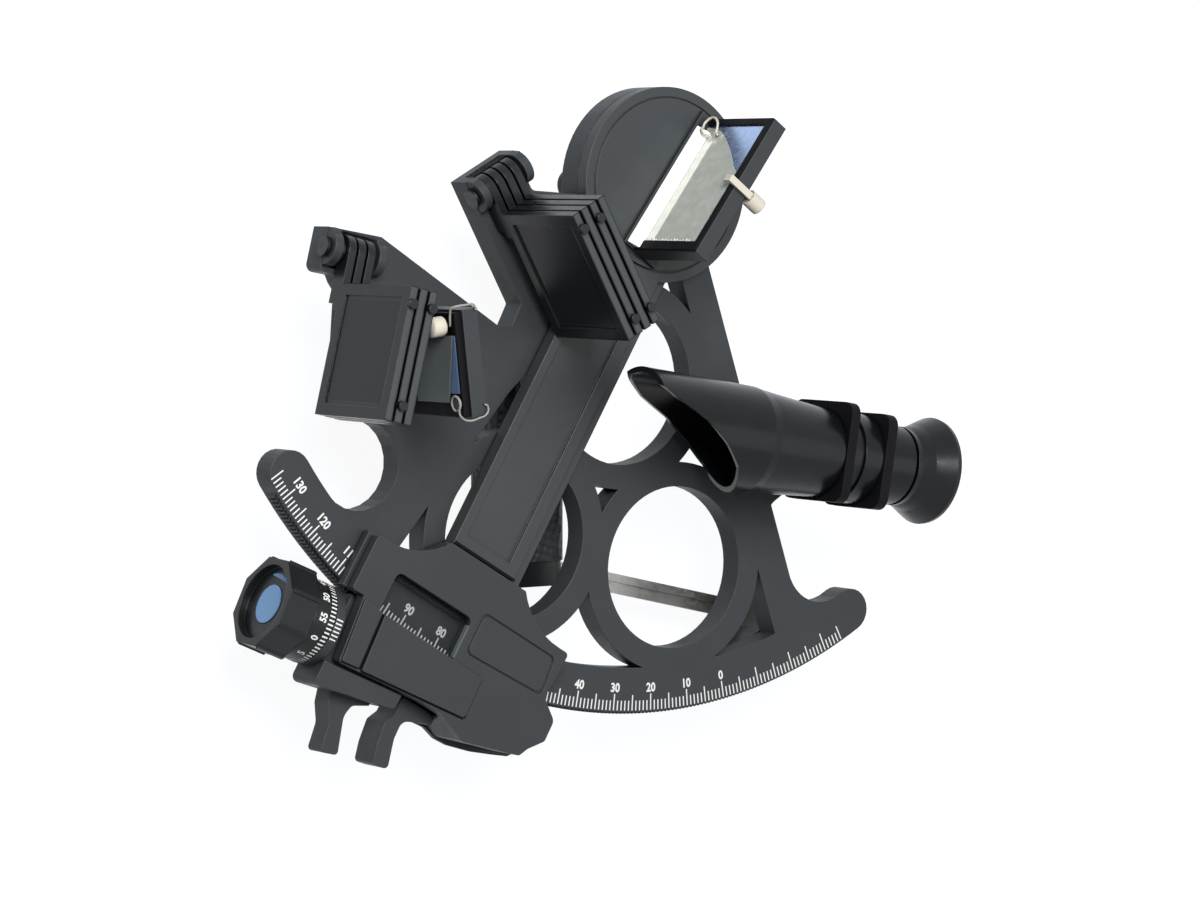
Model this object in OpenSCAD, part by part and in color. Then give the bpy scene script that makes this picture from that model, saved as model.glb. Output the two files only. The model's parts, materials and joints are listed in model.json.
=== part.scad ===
// Marine sextant in moulded plastic, lying on its back on three feet.
// The index arm turns about +Z at the origin. X points right and Y points to the hub.
// Heights inside the modules are measured from the front face of the arc.
// The arm parts are drawn with the arm straight down and then turned to the reading.

/* [Scale] */
// Reading of the index line on the scale, in degrees
reading = 88; // [80:1:96]
// Reading at which the index line points straight down
mid_reading = 50; // [50:1:50]
// Angle from the arm's centre line to the index line, in degrees
index_lead = 3.7; // [3:0.1:4.4]
// Radius of the arc's outer edge
arc_r = 160.5; // [160.3:0.1:160.8]
// Width of the arc
arc_w = 13.5; // [12:0.5:15.5]
// Angle of the left horn's round end
horn_left = 41.7; // [41:0.1:43]
// Angle of the right horn's round end
horn_right = 45.2; // [44:0.1:46]

/* [Rack and worm] */
// Pitch of the rack and of the worm, in degrees of arc
rack_step = 0.5; // [0.5:0.5:0.5]
// Radial depth of a rack tooth
tooth_depth = 0.8; // [0.6:0.05:0.9]
// How far the rack's teeth stand out of the arc's edge
rack_proud = 0.7; // [0.6:0.05:0.8]
// Width of the rack's toothed strip
rack_w = 4.4; // [3:0.1:5]
// Distance of the worm's axis outside the arc's edge
worm_out = 3.9; // [3.7:0.1:4.3]
// Angle from the arm's centre line to the worm
worm_angle = 7.3; // [7:0.1:7.6]
// Length of the worm's thread
worm_len = 10; // [7:1:11]

/* [Frame] */
// Height of the arc's front face above the table
deck = 46; // [44:1:52]
// Thickness of the frame
frame_t = 8; // [7.5:0.25:8.5]
// Lean of the frame's own middle line to the right, in degrees
lean = 4.2; // [3.5:0.1:4.8]
// Bore radius of the three rings
ring_bore = 24.8; // [24:0.1:25.4]
// Outer radius of the three rings
ring_r = 32.3; // [31.5:0.1:33]
// Distance between the centres of the rings
ring_pitch = 60; // [59.5:0.5:61]
// Distance from the arc's inner edge to the middle of the three rings
ring_in = 51.3; // [50.6:0.1:52]
// Half angle between the inner edges of the two limbs
limb_angle = 29.75; // [29.5:0.25:30]
// Width of a limb
limb_w = 10.9; // [10:0.1:11.5]
// Radius of the hollow corner beside each horn
notch_r = 13.3; // [12:0.1:14]
// Radius of the hub pad and of the arm's disc
hub_r = 29.6; // [28.5:0.1:30.5]

/* [Pivot] */
// Radius of the pivot axle
axle_r = 4; // [3.5:0.1:5]
// Thickness of the pivot bush's wall
bush_wall = 1.2; // [1:0.1:1.6]
// Running clearance of shafts in their bores, on the radius
fit_gap = 0.05; // [0.02:0.01:0.08]

/* [Index arm] */
// Gap between the frame's face and the arm
arm_gap = 0.4; // [0.3:0.1:0.6]
// Height of the disc's front face
disc_top = 4.8; // [4.4:0.1:5]
// Height of the bar's front face
bar_top = 5.4; // [5:0.1:5.6]
// Width of the bar
bar_w = 24.4; // [23:0.1:25]
// How far the bar's right-hand flange stands out
flange_w = 4.3; // [3:0.1:4.6]
// Height of the flange's front face
flange_top = 2.4; // [2:0.1:2.6]
// Distance from the arc's outer edge to the end of the bar
bar_short = 30.9; // [30:0.1:31.5]

/* [Casing] */
// Height of the casing's front face
casing_top = 6.6; // [6.2:0.1:6.8]
// Height of the raised index plate
plate_top = 7.4; // [7:0.1:8]
// Height of the casing's floor behind the arc
casing_floor = -8.6; // [-8.8:0.1:-8.4]
// Thickness of the back plate
back_t = 2.4; // [2:0.1:3]
// Width of the scale window
window_w = 30.2; // [27:0.1:31]
// Length of the scale window
window_h = 13.4; // [12:0.1:14]

/* [Micrometer] */
// Radius of the micrometer drum
drum_r = 12.35; // [12:0.05:12.6]
// Radius of the knob
knob_r = 14.2; // [13.6:0.1:14.5]
// Length of the drum
drum_len = 6.9; // [6:0.1:8]
// Length of the knob
knob_len = 10.9; // [10:0.1:13]
// Gap between the casing's left side and the drum
drum_gap = 1.2; // [1:0.1:2]
// Radius of the worm shaft
shaft_r = 2; // [1.8:0.1:2.1]
// Number of flats on the knob
knob_flats = 8; // [6:1:12]
// Radius of the disc in the knob's end
knob_disc_r = 5.9; // [5:0.1:9]

/* [Shades] */
// Width of a shade
shade_w = 41.5; // [39:0.1:42]
// Height of the shades' upper edge
shade_top = 42.5; // [41:0.1:43]
// Thickness of a shade
shade_t = 2.5; // [2.2:0.1:2.7]
// Pitch of the shades on their pin
shade_pitch = 3.3; // [3.2:0.1:3.5]
// Height of a shade plate's lower edge
shade_low = 5.9; // [5.9:0.1:7.6]
// Width of a shade's rim around its glass
shade_rim = 4.6; // [4:0.1:6]
// Radius of a shade's hinge lug
lug_r = 4.9; // [4.6:0.1:5]
// Height of the hinge pins' axis
lug_z = 1; // [0.8:0.1:1.2]
// Radius of the hinge pins
pin_r = 1.6; // [1.4:0.1:1.9]
// Distance from a hinge pin to the near edge of the shade's plate
shade_reach = 7.5; // [7:0.1:8.5]

/* [Mirrors] */
// Length of the index mirror's tray
mirror_len = 49; // [47:0.5:50]
// Height of the index mirror's tray
mirror_h = 32; // [30:0.5:33]
// Thickness of the mirror trays
tray_t = 5; // [4.6:0.1:5.4]
// Width of the horizon mirror's tray
horizon_len = 31.2; // [30:0.1:31.6]
// Height of the horizon mirror's tray
horizon_h = 33; // [29:0.5:34]
// Thickness of the mirror glass
glass_t = 2.4; // [2:0.1:2.8]
// Depth of a mirror tray's rim in front of the glass
tray_lip = 1; // [0.8:0.1:1.2]

/* [Telescope] */
// Height of the telescope's axis above the arc's face
tele_z = 25.5; // [25:0.1:27]
// Angle of the telescope's axis to X, in degrees
tele_angle = 6; // [5.5:0.1:6.5]
// Outer radius of the telescope's hood
hood_r = 16.4; // [16:0.1:16.6]
// Outer radius of the tube at its eye end
tube_r = 13.2; // [13:0.1:13.4]
// Wall of the telescope's tube
tube_wall = 1.6; // [1.3:0.1:2]
// Outer radius of the focusing collar
collar_r = 14; // [13.8:0.1:14.4]
// Outer radius of the eye cup
cup_r = 16.7; // [16:0.1:17]

/* [Handle and feet] */
// Distance between the handle's axis and the frame's back
handle_drop = 22; // [21:0.5:24]
// Width of the handle
grip_w = 26; // [24:0.5:27]
// Thickness of the handle
grip_t = 20; // [18:0.5:21]
// Length of the handle between its end caps
grip_len = 62; // [60:1:64]
// Lean of the handle's lower end to the right, in degrees
grip_lean = 15.8; // [14:0.2:17]
// Radius of the feet at the table
foot_r = 5; // [4.4:0.1:5.2]

/* [Hidden] */
$fn = 48;

// Outlines
function unit(v) = v / norm(v);
function polar(r, a) = [r * sin(a), -r * cos(a)];
function turn(p, a) = [p[0] * cos(a) - p[1] * sin(a), p[0] * sin(a) + p[1] * cos(a)];
function arc_points(c, r, a0, a1, n) = [for (i = [0:n]) let (a = a0 + (a1 - a0) * i / n)
    c + r * [cos(a), sin(a)]];
// Points of one rounded corner at p, between a and b
function corner(a, p, b, r, n = 5) = r <= 0 ? [p] :
    let (u = unit(a - p), v = unit(b - p), half = acos(u * v) / 2,
         c = p + unit(u + v) * r / sin(half), start = p + u * r / tan(half) - c,
         a0 = atan2(start[1], start[0]), side = cross([u[0], u[1]], [v[0], v[1]]) < 0 ? 1 : -1)
    [for (i = [0:n]) c + r * [cos(a0 + side * (180 - 2 * half) * i / n),
                              sin(a0 + side * (180 - 2 * half) * i / n)]];
// Each entry is [x, y, corner radius]
function rounded(p) = let (n = len(p), q = [for (v = p) [v[0], v[1]]])
    [for (i = [0:n - 1]) each corner(q[(i + n - 1) % n], q[i], q[(i + 1) % n], p[i][2])];

arm_angle = (reading - mid_reading) / 2 - index_lead;
arc_inner_r = arc_r - arc_w;
worm_d = arc_r + worm_out;
ring_mid = arc_inner_r - ring_in;
bar_end = arc_r - bar_short;
shade_h = shade_top - shade_low;
frame_back = -frame_t;
module on_deck() { translate([0, 0, deck]) children(); }
module on_arm() { rotate([0, 0, -arm_angle]) on_deck() children(); }
module slab(z0, z1) { translate([0, 0, z0]) linear_extrude(z1 - z0) children(); }
module tube_along(r, x0, x1) { translate([x0, 0, 0]) rotate([0, 90, 0]) cylinder(r = r, h = x1 - x0); }

// Shade hinges: each group has a corner, a direction of its pin and a number of shades
index_corner = [-67.1, -18.2];
index_turn = 44.5;
index_u = 5.1;
index_first = 3.1;
index_width = 19.7;
horizon_corner = [-109, -43.2];
horizon_turn = 2;
horizon_u = 6;
horizon_first = 4.9;
horizon_width = 18.2;
ear_t = 2.8;
hinge_floor = -4.4;
hinge_clear = 0.6;
shade_gap = 0.4;
ear_step_top = 3.1;
back_wall_slope = 1;
// Depth of the wall behind the lugs, as far as they leave room for one
function back_wall(u) = u - lug_r > 0.6 ? min(0.95, u - lug_r - 0.05) : 0;
module at_hinge(c, a) { on_deck() translate([c[0], c[1], 0]) rotate([0, 0, a]) children(); }
function hinge_point(c, a, n, u) = c + turn([n, -u], a);

// Frame
ring_far = ring_pitch / sqrt(3);
ring_centres = [for (k = [0:2]) polar(ring_mid, lean) + turn([0, ring_far], 120 * k + lean)];
notch_reach = arc_inner_r - notch_r;
notch_side = limb_w + notch_r;
notch_down = -sqrt(notch_reach * notch_reach - notch_side * notch_side);
notch_right = turn([notch_side, notch_down], lean + limb_angle);
notch_left_r = 13.4;
notch_left = polar(arc_inner_r - notch_left_r + 0.2, -36.95);
band_mid = (arc_r + arc_inner_r) / 2;
band_r = (arc_r - arc_inner_r) / 2;

module arc_band() {
    edge = [for (i = [0:60]) -horn_left + (horn_left + horn_right) * i / 60];
    polygon(concat([for (a = edge) polar(arc_r, a)],
                   arc_points(polar(band_mid, horn_right), band_r, horn_right - 90 + 15, horn_right + 90 - 15, 10),
                   [for (i = [0:60]) polar(arc_inner_r, edge[60 - i])],
                   arc_points(polar(band_mid, -horn_left), band_r, 90 - horn_left + 15, 270 - horn_left - 15, 10)));
}

module limbs() {
    for (side = [1, -1]) rotate(lean + side * limb_angle)
        translate([side > 0 ? 0 : -limb_w, -arc_inner_r - 2]) square([limb_w, arc_inner_r + 2]);
    foot = lean + limb_angle;
    a1 = atan2(notch_right[1], notch_right[0]);
    polygon(concat(arc_points(notch_right, notch_r, 180 + foot + 6, 360 + a1 - 6, 10),
                   [notch_right * (arc_inner_r + 2) / notch_reach,
                    turn([limb_w - 2, -arc_inner_r - 3], foot), turn([limb_w - 2, notch_down], foot)]));
}

// The plate on the left that carries the horizon mirror and both groups of shades
left_valley = [-44.8, -55.7];
left_wall = [-38.3, -47.6];
module left_plate() {
    far = horizon_corner;
    polygon(rounded([[far[0], far[1], 0],
                     concat(hinge_point(far, horizon_turn, horizon_width, -1.2), [1]),
                     concat(left_valley, [1]), [-39.7, -54.5, 0], concat(left_wall, [1]),
                     concat(index_corner, [0]),
                     concat(hinge_point(index_corner, index_turn, index_width, 0), [0]),
                     concat(hinge_point(index_corner, index_turn, index_width, 13.5), [2]),
                     [-27, -10.5, 0], [-20, -50, 0], [-50.5, -97.5, 0], [-61, -118, 0],
                     concat(polar(arc_inner_r + 2, -25), [0]), concat(polar(arc_inner_r + 2, -36.9), [0]),
                     for (v = arc_points(notch_left, notch_left_r, -126.9, 112, 16)) [v[0], v[1], 0],
                     [far[0] + 18, far[1] - 49.6, 2.5], [far[0] + 11.2, far[1] - 16.6, 1],
                     [far[0] + 8.6, far[1] - 14.4, 0.8], [far[0] + 7.2, far[1] - 12.6, 0.6],
                     [far[0] + 0.4, far[1] - 13.2, 2.2]]));
}

pad_corner = [84, -76];
module telescope_pad() {
    polygon(rounded([[46, -54, 0], [80, -62.5, 4], concat(pad_corner, [4]), [73, -79.2, 2], [70, -82.5, 3],
                     [66, -90, 0], [52, -70, 0]]));
}

foot_places = [[0, 0], polar(arc_inner_r + 0.4, -14), polar(arc_inner_r + 3.7, 39.1)];
module frame_outline() {
    difference() {
        union() {
            circle(hub_r);
            for (c = ring_centres) translate(c) circle(ring_r);
            limbs();
            left_plate();
            telescope_pad();
        }
        for (c = ring_centres) translate(c) circle(ring_bore);
    }
    arc_band();
}

// Rack: one tooth for each step, standing out of the middle of the arc's edge
rack_teeth = round((horn_left + horn_right - 2) / rack_step);
rack_from = -round(horn_left / rack_step) * rack_step + 1;
rack_top_r = arc_r + rack_proud;
rack_root_r = rack_top_r - tooth_depth;
tooth_flat = 0.16;
module rack_profile() {
    steps = [-0.5 + tooth_flat / 2, -tooth_flat, tooth_flat, 0.5 - tooth_flat / 2];
    radii = [rack_root_r, rack_top_r, rack_top_r, rack_root_r];
    outer = [for (i = [0:rack_teeth]) for (k = [0:3]) polar(radii[k], rack_from + (i + steps[k]) * rack_step)];
    inner = [for (i = [30:-1:0]) polar(arc_r - 1.5, rack_from + rack_teeth * rack_step * i / 30)];
    polygon(concat(outer, inner));
}

module hinge_ears(n_total, u) {
    for (n = [0.15, n_total - ear_t]) {
        translate([n, 0, lug_z]) tube_along(lug_r + 0.2, 0, ear_t - 0.15);
        translate([n, -lug_r + 0.2, frame_back + 1])
            cube([ear_t - 0.15, 2 * lug_r - 0.4, lug_z - frame_back - 1]);
        translate([n, 0.3, frame_back + 1]) cube([ear_t - 0.15, u - 0.45, ear_step_top - frame_back - 1]);
    }
    // Its top slopes away, clear of a shade that is swung right over
    if (back_wall(u) > 0) translate([ear_t - 0.4, u, 0]) rotate([90, 0, 90])
        linear_extrude(n_total - 2 * ear_t + 0.8)
            polygon([[-back_wall(u), frame_back + 1], [-0.15, frame_back + 1], [-0.15, back_wall_slope],
                     [-back_wall(u), -0.3]]);
}

module hinge_seat(n_total, u) {
    translate([ear_t, -u - lug_r - hinge_clear, hinge_floor])
        cube([n_total - 2 * ear_t, u + lug_r + hinge_clear - back_wall(u), 20]);
}

module frame() {
    color("dimgray") {
        difference() {
            union() {
                on_deck() slab(frame_back, 0) frame_outline();
                at_hinge(index_corner, index_turn) translate([0, -index_u, 0]) hinge_ears(index_width, index_u);
                at_hinge(horizon_corner, horizon_turn) translate([0, -horizon_u, 0])
                    hinge_ears(horizon_width, horizon_u);
            }
            at_hinge(index_corner, index_turn) hinge_seat(index_width, index_u);
            at_hinge(horizon_corner, horizon_turn) hinge_seat(horizon_width, horizon_u);
            at_hinge(index_corner, index_turn) translate([0, -index_u, lug_z])
                tube_along(pin_r, -1, index_width + 1);
            at_hinge(horizon_corner, horizon_turn) translate([0, -horizon_u, lug_z])
                tube_along(pin_r, -1, horizon_width + 1);
            translate([0, 0, deck - 20]) cylinder(r = axle_r + bush_wall, h = 40);
        }
        on_deck() slab(frame_back / 2 - rack_w / 2, frame_back / 2 + rack_w / 2) rack_profile();
    }
}

// Pivot
nut_w = 6.5;
nut_t = 4;
washer_t = 1;
module pivot_bush() {
    color("tan") on_deck() difference() {
        slab(frame_back, 0) circle(axle_r + bush_wall);
        slab(frame_back - 1, 1) circle(axle_r + fit_gap);
    }
}
module pivot_axle() {
    color("silver") on_arm() {
        slab(frame_back - washer_t - nut_t - 1.6, disc_top - 1.4) circle(axle_r);
        slab(arm_gap + 0.1, disc_top - 2.6) circle(axle_r + 2.4);
    }
}
module pivot_washer() {
    color("silver") on_arm() difference() {
        slab(frame_back - washer_t - 0.1, frame_back - 0.1) circle(axle_r + 4);
        slab(frame_back - 3, 0) circle(axle_r);
    }
}
module pivot_nut() {
    color("silver") on_arm() difference() {
        slab(frame_back - washer_t - 0.1 - nut_t, frame_back - washer_t - 0.1) circle(nut_w, $fn = 6);
        slab(frame_back - 12, 0) circle(axle_r);
    }
}

// Index arm: disc, bar with flanges and recessed panel, and foot under the casing
panel_rim = 3;
panel_deep = 0.9;
groove_r = 26.4;
// The foot and casing are drawn from the arc's outer edge, straight below the pivot
module on_foot() { on_arm() translate([0, -arc_r, 0]) children(); }
window_x = -arc_r * sin(index_lead);
window_top = 14.4;
casing_left = -36.8;
casing_right = 40.4;
casing_y = 20.4;
foot_top = 2.6;
neck_r = 24.5;
neck_end = bar_short - 0.6;
// Hollow curve between a shoulder at x and the end of the bar
function neck(x, y, side) = let (reach = acos((y + neck_r - neck_end) / neck_r))
    arc_points([x, y + neck_r], neck_r, side > 0 ? -90 - reach : -90 + reach, -90, 8);
function neck_curves() = let (right = neck(36, casing_y + 1, 1), left = neck(-33, casing_y, -1))
    concat([for (i = [8:-1:0]) right[i]], left);
module arm_foot_outline() {
    low = 3.1;
    difference() {
        polygon(concat([[casing_left + 2, casing_y - 1], [casing_left + 2, low], [casing_right - 3, low],
                        [casing_right - 3, casing_y - 1]], [for (p = neck_curves()) p - [0, 0.5]]));
        translate([window_x - window_w / 2 - 1, window_top - window_h - 8])
            square([window_w + 2, window_h + 9]);
    }
}
module index_arm() {
    color("dimgray") on_arm() difference() {
        union() {
            slab(arm_gap, disc_top) circle(hub_r);
            slab(arm_gap, bar_top) translate([-bar_w / 2, -bar_end]) square([bar_w, bar_end - hub_r + 5]);
            slab(arm_gap, flange_top) translate([-bar_w / 2, -bar_end - 4])
                square([bar_w + flange_w, bar_end - 18]);
            slab(arm_gap, foot_top - 0.2) translate([0, -arc_r]) arm_foot_outline();
        }
        slab(disc_top - 0.5, disc_top + 1) difference() {
            circle(groove_r + 0.35);
            circle(groove_r - 0.35);
        }
        slab(bar_top - panel_deep, bar_top + 1) translate([-bar_w / 2 + panel_rim, -bar_end + 4])
            square([bar_w - 2 * panel_rim - 0.8, bar_end - 50]);
        slab(-1, disc_top - 1.4) circle(axle_r);
        slab(-1, disc_top - 2.6) circle(axle_r + 2.4);
    }
}

// Casing
skirt_r = rack_top_r + 0.5;
function casing_outline() = concat(
    rounded([[casing_left, casing_y, 1.5], [casing_left, 2.7, 0.8], [-32.2, 2.9, 0.6], [-30, -17.8, 1],
             [1, -14.8, 2], [9.5, -14.7, 4], [20, -18.4, 3], [40.2, -12.9, 1.5], [41.8, -9.9, 1],
             [46.2, -5.1, 1.5], [46.1, 1.7, 2.5], [39.3, 6.3, 2], [casing_right, 17, 1],
             [casing_right, casing_y + 1, 1.2]]), neck_curves());

hinge_at = [38.5, -5.5];
hinge_boss = 4.4;
hinge_pin = 1.8;
pin_cover = 1.6;
worm_foot = polar(worm_d, worm_angle);
worm_z = frame_back / 2;
drum_reach = (worm_foot[0] - casing_left + drum_gap) / cos(worm_angle);
module on_worm() {
    on_arm() translate([worm_foot[0], worm_foot[1], worm_z]) rotate([0, 0, worm_angle]) children();
}
// Circle round the pivot, as seen from the foot
module pivot_circle(r) { translate([0, arc_r]) circle(r); }
module hinge_hole(r, top) { translate([hinge_at[0], hinge_at[1], -20]) cylinder(r = r, h = top + 20); }

// Room that the carriage needs at its two ends of travel
module carriage_room() {
    polygon([[-60, 10.5], [-60, -39.5], [-0.9, -39.5], [-0.9, -16.7], [20, -13.9], [30, -11.9],
             [hinge_at[0] - 3, hinge_at[1] - 5.2], [hinge_at[0], hinge_at[1] - 5.6],
             [hinge_at[0] + 4, hinge_at[1] - 4], [hinge_at[0] + 5.4, hinge_at[1]],
             [hinge_at[0] + 4.4, hinge_at[1] + 4], [hinge_at[0] + 2, hinge_at[1] + 5.6], [34, 10.5]]);
}

window_round = 2.2;
module window_shape(grow) {
    left = window_x - window_w / 2 - grow;
    low = window_top - window_h - grow;
    polygon(rounded([[left, low, 0.4], [left + window_w + 2 * grow, low, 0.4],
                     [left + window_w + 2 * grow, window_top + grow, window_round],
                     [left, window_top + grow, window_round]]));
}
// Outline of the bare name panel, g inside its outer edge
module name_panel(g) {
    polygon(rounded([[7.2 + g, 18.2 - g, 2], [7.2 + g, 4.4 + g, 2],
                     [38 - g, 5.8 + g, 2], [36.8 - g, 18.2 - g, 2]]));
}
groove_w = 0.7;
groove_deep = 0.5;

module arm_casing() {
    color("dimgray") on_foot() difference() {
        union() {
            slab(foot_top, casing_top) polygon(casing_outline());
            slab(casing_floor, foot_top) difference() {
                intersection() {
                    polygon(casing_outline());
                    translate([-0.6, -29.5]) square([60, 60]);
                }
                pivot_circle(skirt_r);
                carriage_room();
            }
        }
        slab(foot_top - 1, casing_top + 1) window_shape(0);
        slab(foot_top - 1, foot_top + 1.6) window_shape(1.6);
        slab(casing_top - groove_deep, casing_top + 1) difference() {
            name_panel(0);
            name_panel(groove_w);
        }
        hinge_hole(hinge_pin + 0.02, casing_top - pin_cover);
    }
}

back_start = -24;
module casing_back() {
    color("dimgray") on_foot() difference() {
        slab(casing_floor - back_t, casing_floor) difference() {
            intersection() {
                polygon(casing_outline());
                translate([back_start, -29.5]) square([90, 60]);
            }
            pivot_circle(arc_inner_r + 7);
        }
        hinge_hole(hinge_pin + 0.02, 20);
    }
}

module index_plate() {
    color("dimgray") on_foot() slab(casing_top, plate_top)
        polygon(rounded([[-23.4, 1.2, 0.5], [-22.2, -16.4, 0.5], [16.7, -12.2, 1.5], [16.2, 0.6, 0.5]]));
}
module side_plate() {
    color("dimgray") on_foot() slab(casing_top, plate_top - 0.3)
        polygon(rounded([[-31.6, 2.2, 0.5], [-29.5, -17, 0.5], [-23.4, -16.2, 0.5], [-24.4, 1.3, 0.5]]));
}
module window_pane() {
    color("lightcyan", 0.4) on_foot() slab(foot_top + 0.1, foot_top + 1.5) window_shape(1.5);
}

module fixed_finger_lever() {
    color("dimgray") on_foot() difference() {
        slab(casing_floor - back_t - 0.2, -1) polygon(rounded([
            [-0.4, -14.4, 0], [-0.4, -20.5, 1], [-2.3, -24, 1.5], [-1.4, -31, 6], [0.2, -36.7, 1.4],
            [5.6, -35.7, 1.4],
            [3, -27, 6], [2.8, -21.2, 3], [9, -18.7, 3], [12.4, -17.8, 0], [12.4, -14.4, 0]]));
        slab(casing_floor - back_t, 0) polygon(casing_outline());
    }
}

// Worm carriage: a swinging block with the shaft's two bearings, the index ring and the moving lever
carriage_top = 2.2;
flap_top = 5;
ring_gap = 0.3;
ring_len = 2.8;
bearing_r = 6.3;
module carriage_plan() {
    difference() {
        polygon(rounded([[-33.4, 10.5, 0], [-33.4, -26.9, 2], [-5.2, -20.7, 1.5], [-4.6, -11.4, 1],
                         [28, -9.9, 2], [35, -9.5, 0], hinge_corner, [34.4, 3.5, 0]]));
        pivot_circle(skirt_r);
    }
    translate(hinge_at) circle(hinge_boss);
}
hinge_corner = [hinge_at[0], hinge_at[1], 0];
module finger_plan() {
    polygon(rounded([[-24.6, -22.5, 0], [-22.8, -28.6, 3], [-19.4, -33.4, 4], [-17.9, -41.7, 1.2],
                     [-12.2, -39.9, 1.2],
                     [-16.2, -29, 5], [-15.2, -25.2, 2], [-10, -22.6, 0], [-10, -20, 0]]));
}
module worm_carriage() {
    color("dimgray") difference() {
        union() {
            on_foot() slab(casing_floor + 0.4, carriage_top) carriage_plan();
            on_foot() slab(casing_floor + 0.4, flap_top) intersection() {
                carriage_plan();
                polygon([[-40, -19.4], [-40, -39.5], [-4, -39.5], [-4, -15.9], [-30.5, -19]]);
            }
            on_foot() slab(casing_floor + 0.6, -0.6) finger_plan();
            on_worm() tube_along(drum_r - 0.05, -drum_reach + ring_gap, -drum_reach + ring_gap + ring_len);
            on_worm() tube_along(bearing_r, -drum_reach + ring_gap, -drum_reach + 9);
        }
        on_worm() translate([-worm_len / 2 - 2, -5.2, -20]) cube([worm_len + 4, 15, 40]);
        on_worm() tube_along(shaft_r + fit_gap, -90, 40);
        on_worm() tube_along(shaft_r + 0.8, -46, -14);
        on_foot() hinge_hole(hinge_pin + fit_gap, 20);
    }
}
module carriage_pin() {
    color("silver") on_foot() translate([hinge_at[0], hinge_at[1], casing_floor - back_t])
        cylinder(r = hinge_pin, h = casing_top - casing_floor + back_t - pin_cover - 0.2);
}
// Leaf spring between the carriage and the casing's outer wall
module release_spring() {
    color("silver") on_foot() slab(-7, -1) polygon([[24.4, -12.95], [24.4, -12.4], [17, -12.1], [12, -11.6],
        [10.6, -11.65], [10.2, -12.3], [11.6, -12.2], [17, -12.7]]);
}

// Worm and micrometer
worm_r = worm_d - rack_root_r - 0.14;
worm_root = worm_d - rack_top_r - 0.14;
worm_pitch = rack_step * PI / 180 * (rack_top_r - tooth_depth / 2);
worm_sides = 24;
worm_turns = floor(worm_len / worm_pitch) - 1;
thread_base = 0.32;
thread_tip = 0.12;
// Ring of four points of the thread's section at one step of the helix
function thread_ring(i, phase) = let (a = 360 * i / worm_sides + phase,
        x = worm_pitch * (i / worm_sides - worm_turns / 2),
        fade = min(1, i / 6, (worm_turns * worm_sides - i) / 6),
        rt = worm_root - 0.3 + (worm_r - worm_root + 0.3) * max(0.35, fade))
    [for (k = [[worm_root - 0.5, -thread_base], [rt, -thread_tip],
               [rt, thread_tip], [worm_root - 0.5, thread_base]])
        [x + k[1] * worm_pitch, k[0] * cos(a), k[0] * sin(a)]];
module worm_thread(phase) {
    n = worm_turns * worm_sides;
    points = [for (i = [0:n]) each thread_ring(i, phase)];
    sides = [for (i = [0:n - 1]) for (k = [0:3]) let (a = 4 * i + k, b = 4 * i + (k + 1) % 4)
        each [[a, b, b + 4], [a, b + 4, a + 4]]];
    polyhedron(points, concat([[3, 2, 1, 0]], sides, [[4 * n, 4 * n + 1, 4 * n + 2, 4 * n + 3]]));
}
worm_phase = 180;
shaft_short = 1.6;
shaft_end = -drum_reach - drum_len - knob_len + 2.4 + shaft_short;
module worm_shaft() {
    color("silver") on_worm() {
        tube_along(shaft_r, shaft_end, worm_len / 2 + 8);
        tube_along(worm_root, -worm_len / 2 - 1, worm_len / 2 + 1);
        worm_thread(worm_phase);
    }
}
module drum() {
    color("black") on_worm() difference() {
        union() {
            tube_along(drum_r, -drum_reach - drum_len, -drum_reach);
            tube_along(drum_r - 1, -drum_reach - drum_len - 0.6, -drum_reach - drum_len);
        }
        tube_along(shaft_r + 0.02, -100, 0);
    }
}
knob_start = -drum_reach - drum_len;
knob_end = knob_start - knob_len;
knob_turn = 25;
rib_w = 1.3;
recess_deep = 2.4;
recess_r = 11.3;
module knob() {
    color("black") on_worm() difference() {
        union() {
            rotate([knob_turn, 0, 0]) translate([knob_end, 0, 0]) rotate([0, 90, 0])
                cylinder(r = knob_r, h = knob_len - 0.6, $fn = knob_flats);
            for (k = [0:knob_flats - 1]) rotate([knob_turn - 90 + 360 * k / knob_flats, 0, 0])
                translate([knob_end + 0.8, -rib_w / 2, 0]) cube([knob_len - 1.6, rib_w, knob_r + rib_up]);
        }
        tube_along(recess_r, knob_end - 1, knob_end + recess_deep);
        tube_along(knob_disc_r + 0.02, knob_end - 1, knob_end + recess_deep + shaft_short - 0.1);
        tube_along(shaft_r + 0.02, -100, 0);
        tube_along(drum_r - 0.9, knob_start - 1, knob_start + 1);
    }
}
rib_up = 0.3;
module knob_cap() {
    color("steelblue") on_worm()
        tube_along(knob_disc_r, knob_end + recess_deep - 0.3, knob_end + recess_deep + shaft_short - 0.1);
}

// Shades. The plates lie across the pin's direction, with their glass held in a window.
nub_r = 1.4;
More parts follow.
